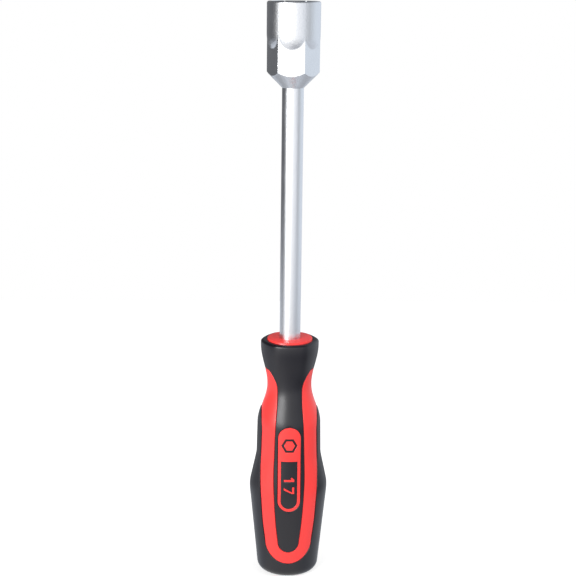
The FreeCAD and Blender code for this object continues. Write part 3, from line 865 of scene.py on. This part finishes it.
def inset_outline(outline, distance):
    """The outline moved inwards by a small distance."""
    area = sum(a.cross(b) for a, b in zip(outline, outline[1:] + outline[:1]))
    sign = 1 if area > 0 else -1
    moved = []
    for before, point, after in zip(outline[-1:] + outline[:-1], outline, outline[1:] + outline[:1]):
        first, second = (point - before).normalized(), (after - point).normalized()
        normal = Vector((-first.y - second.y, first.x + second.x)) * sign
        moved.append(point + normal * (distance / (1 + first.dot(second))))
    return moved


def badge_outlines(b):
    """The outlines of the plate, the field, the two figures, and the symbol's outer and inner edge."""
    low = b.bottom + b.field_rim
    high = low + b.field_length
    plate = slot_outline(b.width / 2, b.bottom, b.bottom + b.length, True)
    field = slot_outline(b.width / 2 - b.field_rim, low, high, False)
    centre = high + b.symbol_gap + b.symbol_across_flats / 2
    rings = []
    for across in (b.symbol_across_flats, b.symbol_across_flats - 2 * b.symbol_stroke):
        corner = across / 2 / math.cos(math.pi / 6)
        rings.append([Vector((corner * math.cos(t), centre + corner * math.sin(t)))
                      for t in full_turn(60)])
    figures = figure_outlines(b, (low + high) / 2)
    return [divided(outline, BADGE_STEP) for outline in (plate, field, *figures, *rings)]


def badge_parts(b):
    """The badge's triangles by part, each as the flat points' x and z, and faces of three points."""
    outlines = badge_outlines(b)
    plate = outlines[0]
    loops = list(outlines)
    for outline in outlines:
        loops.append(inset_outline(outline, b.fine_rim))
        if outline is not plate:
            loops.append(inset_outline(outline, -b.fine_rim))
    points, edges = [], []
    for loop in loops:
        first = len(points)
        points += loop
        edges += [(first + i, first + (i + 1) % len(loop)) for i in range(len(loop))]
    half = b.width / 2
    grid = [(x, z) for x in np.arange(-half + BADGE_STEP, half, BADGE_STEP) for z in
            np.arange(b.bottom + BADGE_STEP, b.bottom + b.length, BADGE_STEP)]
    keep = inside(inset_outline(plate, BADGE_CLEAR), *(np.array(column) for column in zip(*grid)))
    points += [Vector(pair) for pair, kept in zip(grid, keep) if kept]
    verts, _, faces = delaunay_2d_cdt(points, edges, [], 0, TOUCH)[:3]
    x, z = (np.array([getattr(v, axis) for v in verts]) for axis in "xy")
    faces = np.array(faces)
    middles = x[faces].mean(axis=1), z[faces].mean(axis=1)
    in_plate, in_field, in_one, in_seven, in_ring, in_hole = (inside(o, *middles) for o in outlines)
    in_field &= ~(in_one | in_seven)
    in_symbol = in_ring & ~in_hole
    in_plate &= ~in_field & ~in_symbol
    return {"plate": (x, z, faces[in_plate]), "badge_field": (x, z, faces[in_field]),
            "badge_symbol": (x, z, faces[in_symbol])}


def make_badge_piece(g, b, name, triangles, depth, lift, material, back):
    """One part of the badge as a closed piece on the grip's surface, in front or at the back."""
    x, z, faces = triangles
    used = np.unique(faces)
    points = on_grip(g, angle_at(g, x[used], z[used]), z[used], lift)
    if back:
        points = points * (-1, -1, 1)
    mesh = bmesh.new()
    made = dict(zip(used.tolist(), (mesh.verts.new(point) for point in points)))
    for face in faces.tolist():
        mesh.faces.new([made[i] for i in face])
    mesh.normal_update()
    outward = sum(face.normal.y for face in mesh.faces) * (1 if back else -1)
    if outward < 0:
        bmesh.ops.reverse_faces(mesh, faces=mesh.faces)
    round_rims(mesh, b.fine_rim, 0.0)
    close_skin(mesh, sunk(g, depth))
    return piece(name, mesh, material)


# ---- stage ----

# What the tool mirrors, in bands round it: the bearing in degrees from the front, and the colour.
# Bright cards and darker gaps stand round it, so that each flat of the steel shows its own tone.
WALL_BANDS = ((-180, "#6A6B6E"), (-130, "#58595B"), (-100, "#45464A"), (-84, "#404040"),
              (-72, "#B0B0B0"), (-58, "#F4F4F4"), (-45, "#FFFFFF"), (0, "#FFFFFF"), (14, "#E8E8EA"),
              (36, "#DFE1E6"), (52, "#C4C7CC"), (66, "#A0A2A5"), (80, "#B4B9BF"), (100, "#C9D0D8"),
              (150, "#C6CDD7"), (180, "#6A6B6E"))
# What the floor gives off to reflections, by bearing: painted light and shade of the floor, bright at
# the front left, dimmer at the right and dark behind the tool.
FLOOR_BANDS = ((-180, "#202022"), (-154, "#3C3E42"), (-142, "#B4B8C0"), (-120, "#A4A6AC"),
               (-90, "#E8EAEE"), (-60, "#FFFFFF"), (-30, "#ECECF2"), (-5, "#B0B2BA"), (25, "#9A9CA6"),
               (55, "#74767E"), (90, "#868892"), (120, "#C0C4CC"), (142, "#B4B8C0"), (154, "#3C3E42"),
               (180, "#202022"))
# Further out the floor's painted glow is paler and more even; the world shows these bands below the
# horizon too.
FAR_FLOOR_BANDS = ((-180, "#D8DEE8"), (-75, "#D8DEE8"), (-50, "#FFFFFF"), (15, "#FFFFFF"),
                   (45, "#D8DEE8"), (180, "#D8DEE8"))
FLOOR_GLOW = 0.6  # what the floor gives off to the camera, so that it shows white with its shadow
# name, place, width in metres, power in watts, and whether the tool mirrors it
LAMPS = (("key", (-0.63, -0.81, 0.38), 0.6, 10.5, True),
         ("fill", (0.9, -0.3, 0.8), 0.7, 6.0, False))
LAMPS_AIM = Vector((0, 0, 0.12))


def hexed(code):
    """A colour for a node's socket from its sRGB hex code."""
    return (*linear(code), 1)


def by_bearing(tree, direction, bands):
    """A colour that changes with the bearing round the tool."""
    parts = add(tree, "SeparateXYZ", {0: direction}).outputs
    back = add(tree, "Math", {0: parts["Y"], 1: -1.0}, operation="MULTIPLY")
    bearing = add(tree, "Math", {0: parts["X"], 1: back}, operation="ARCTAN2")
    share = add(tree, "MapRange", {"Value": bearing, "From Min": -math.pi, "From Max": math.pi})
    ramp = add(tree, "ValToRGB", {"Fac": share})
    elements = ramp.color_ramp.elements
    while len(elements) < len(bands):
        elements.new(0.5)
    for element, (degrees, code) in zip(elements, bands):
        element.position = (degrees + 180) / 360
        element.color = hexed(code)
    return ramp


def matt_white_card():
    """Matt white card: white to the camera, with the tool's shadow; to reflections it glows with
    painted light and shade in bands by bearing.
    """
    material, tree, shader = new_material("matt_white_card")
    rays = add(tree, "LightPath").outputs
    mirrored_ray = add(tree, "Math", {0: rays["Is Glossy Ray"], 1: rays["Is Transmission Ray"]},
                       operation="ADD")
    place_on = add(tree, "TexCoord").outputs["Object"]
    # the painted bands of floor light and shade lie in a belt round the tool, which fades in and out
    # over these distances
    away = add(tree, "VectorMath", {0: place_on}, operation="LENGTH")
    inner = add(tree, "MapRange", {"Value": away, "From Min": 0.09, "From Max": 0.13})
    outer = add(tree, "MapRange", {"Value": away, "From Min": 0.25, "From Max": 0.4,
                                   "To Min": 1.0, "To Max": 0.0})
    belt = add(tree, "Math", {0: inner, 1: outer}, operation="MULTIPLY")
    banded = add(tree, "Mix", {"Factor": belt, "A": by_bearing(tree, place_on, FAR_FLOOR_BANDS),
                               "B": by_bearing(tree, place_on, FLOOR_BANDS)}, data_type="RGBA")
    # to reflections the card is darker, as part of its painted shade
    paper = add(tree, "Mix", {"Factor": mirrored_ray, "A": hexed("#CECECE"), "B": hexed("#595959")},
                data_type="RGBA")
    # it glows white to the camera, and with the painted bands of light and shade to reflections
    light = add(tree, "Mix", {"Factor": mirrored_ray, "A": hexed("#FFFFFF"), "B": banded},
                data_type="RGBA")
    glow = add(tree, "Math", {0: rays["Is Camera Ray"], 1: FLOOR_GLOW, 2: mirrored_ray},
               operation="MULTIPLY_ADD")
    feed(shader, {"Base Color": paper, "Emission Color": light, "Emission Strength": glow,
                  "Roughness": 0.9, "Specular IOR Level": 0.1})
    return material


def make_floor(stage):
    """A square floor of card round the tool's foot."""
    material = matt_white_card()
    half = stage.floor_size / 2
    mesh = bmesh.new()
    mesh.faces.new([mesh.verts.new((x, y, 0)) for x, y in ((-half, -half), (half, -half), (half, half),
                                                          (-half, half))])
    piece("floor", mesh, material)


def make_world(scene):
    """A white studio: an even level on the tool, and walls of cards that only reflections show."""
    world = bpy.data.worlds.new("studio")
    world.use_nodes = True
    tree = world.node_tree
    tree.nodes.clear()
    rays = add(tree, "LightPath").outputs
    direction = add(tree, "TexCoord").outputs["Generated"]
    up = add(tree, "SeparateXYZ", {0: direction}).outputs["Z"]
    # the cards are bright up to some 20 degrees above level, and dim from some 50 degrees on
    high = add(tree, "MapRange", {"Value": up, "From Min": 0.35, "From Max": 0.8,
                                  "To Min": 1.6, "To Max": 0.5})
    walls = add(tree, "VectorMath", {0: by_bearing(tree, direction, WALL_BANDS), "Scale": high},
                operation="SCALE")
    # past the floor's edge, the floor seems to go on
    low = add(tree, "MapRange", {"Value": up, "From Min": -0.28, "From Max": -0.4})
    far = by_bearing(tree, direction, FAR_FLOOR_BANDS)
    round_about = add(tree, "Mix", {"Factor": low, "A": walls, "B": far}, data_type="RGBA")
    seen = add(tree, "Mix", {"Factor": rays["Is Glossy Ray"], "A": hexed("#BFBFBF"), "B": round_about},
               data_type="RGBA")
    plain = add(tree, "Math", {0: rays["Is Camera Ray"], 1: rays["Is Transmission Ray"]},
                operation="ADD")
    final = add(tree, "Mix", {"Factor": plain, "A": seen, "B": hexed("#FFFFFF")}, data_type="RGBA")
    shader = add(tree, "Background", {"Color": final, "Strength": 1.0})
    add(tree, "OutputWorld", {"Surface": shader})
    scene.world = world


def make_lamps(scene):
    """Two soft boxes: a key at the front left, and a fill at the upper right that isn't mirrored."""
    for name, spot, width, power, shows_in_reflections in LAMPS:
        data = bpy.data.lights.new(name, "AREA")
        data.size = width
        data.energy = power
        lamp = bpy.data.objects.new(name, data)
        lamp.visible_glossy = shows_in_reflections
        lamp.location = spot
        lamp.rotation_euler = (LAMPS_AIM - lamp.location).to_track_quat("-Z", "Y").to_euler()
        scene.collection.objects.link(lamp)


def make_camera(scene, stage):
    """The camera, a little higher than the socket's mouth and tilted down."""
    data = bpy.data.cameras.new("camera")
    data.sensor_width = 36
    data.lens = stage.lens
    data.clip_start = 0.01
    camera = bpy.data.objects.new("camera", data)
    azimuth = stage.camera_azimuth
    place_at = Vector((math.sin(azimuth), -math.cos(azimuth), 0)) * stage.camera_distance
    place_at.z = stage.camera_height
    turned_to = (Matrix.Rotation(azimuth + stage.camera_yaw, 4, "Z")
                 @ Matrix.Rotation(math.pi / 2 - stage.camera_tilt, 4, "X")
                 @ Matrix.Rotation(stage.camera_roll, 4, "Z"))
    camera.matrix_world = Matrix.Translation(place_at) @ turned_to
    scene.collection.objects.link(camera)
    scene.camera = camera


# ---- operators ----

class DRIVER_OT_steel(bpy.types.Operator):
    """Build the socket and the shank"""
    bl_idname = "driver.steel"
    bl_label = "Socket and shank"

    def execute(self, context):
        steel = context.scene.driver_steel
        place(make_socket(steel), "socket_head")
        place(make_shank(steel), "shank")
        return {"FINISHED"}


class DRIVER_OT_grip_core(bpy.types.Operator):
    """Build the red core with its bands, badge plates and end face, and the badge inlays"""
    bl_idname = "driver.grip_core"
    bl_label = "Red core and badges"

    def execute(self, context):
        scene = context.scene
        grip, soft, badge = scene.driver_grip, scene.driver_soft, scene.driver_badge
        parts = badge_parts(badge)
        plates = []
        for side, back in (("front", False), ("back", True)):
            plates.append(make_badge_piece(grip, badge, "plate_" + side, parts["plate"],
                                           soft.wall + ROOT, 0.0, shared(moulded_red_polypropylene),
                                           back))
            for name in ("badge_field", "badge_symbol"):
                inlay = make_badge_piece(grip, badge, "%s_%s_inlay" % (name, side), parts[name],
                                         badge.inlay_depth, -badge.inlay_sink,
                                         shared(moulded_black_elastomer), back)
                place(inlay, "%s_%s" % (name, side))
        place(make_core(grip, soft, plates), "handle_core")
        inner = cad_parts["inner_core"]
        inner.data.materials.clear()
        inner.data.materials.append(shared(glass_filled_polyamide))
        return {"FINISHED"}


class DRIVER_OT_soft_parts(bpy.types.Operator):
    """Build the black collar with its tongues, and the side pads"""
    bl_idname = "driver.soft_parts"
    bl_label = "Soft parts"

    def execute(self, context):
        scene = context.scene
        grip, soft, badge = scene.driver_grip, scene.driver_soft, scene.driver_badge
        place(make_collar(grip, soft, badge), "grip_collar")
        place(make_pads(grip, soft), "grip_shell")
        return {"FINISHED"}


class DRIVER_OT_stage(bpy.types.Operator):
    """Build the floor, the lights and the camera"""
    bl_idname = "driver.stage"
    bl_label = "Stage"

    def execute(self, context):
        stage = context.scene.driver_stage
        make_floor(stage)
        make_world(context.scene)
        make_lamps(context.scene)
        make_camera(context.scene, stage)
        context.scene.view_settings.view_transform = "Standard"
        return {"FINISHED"}


# ---- panel, registration and run ----

class DRIVER_PT_sidebar(bpy.types.Panel):
    bl_label = "Nut driver"
    bl_space_type = "VIEW_3D"
    bl_region_type = "UI"
    bl_category = "Nut driver"

    def draw(self, context):
        for operator in OPERATORS:
            self.layout.operator(operator.bl_idname)


OPERATORS = (DRIVER_OT_steel, DRIVER_OT_grip_core, DRIVER_OT_soft_parts, DRIVER_OT_stage)
GROUPS = {"driver_steel": SteelSizes, "driver_grip": GripSizes, "driver_soft": SoftPartSizes,
          "driver_badge": BadgeSizes, "driver_finishes": Finishes, "driver_stage": StageSizes}


def register():
    """Makes the classes known to Blender, and gives each scene the groups of sizes."""
    for kind in (*GROUPS.values(), *OPERATORS, DRIVER_PT_sidebar):
        bpy.utils.register_class(kind)
    for name, kind in GROUPS.items():
        setattr(bpy.types.Scene, name, PointerProperty(type=kind))


def unregister():
    """Undoes register."""
    for name in GROUPS:
        delattr(bpy.types.Scene, name)
    for kind in (DRIVER_PT_sidebar, *OPERATORS, *GROUPS.values()):
        bpy.utils.unregister_class(kind)


def main():
    """Builds every piece and the stage."""
    register()
    bpy.ops.driver.steel()
    bpy.ops.driver.grip_core()
    bpy.ops.driver.soft_parts()
    bpy.ops.driver.stage()


if __name__ == "__main__":
    main()
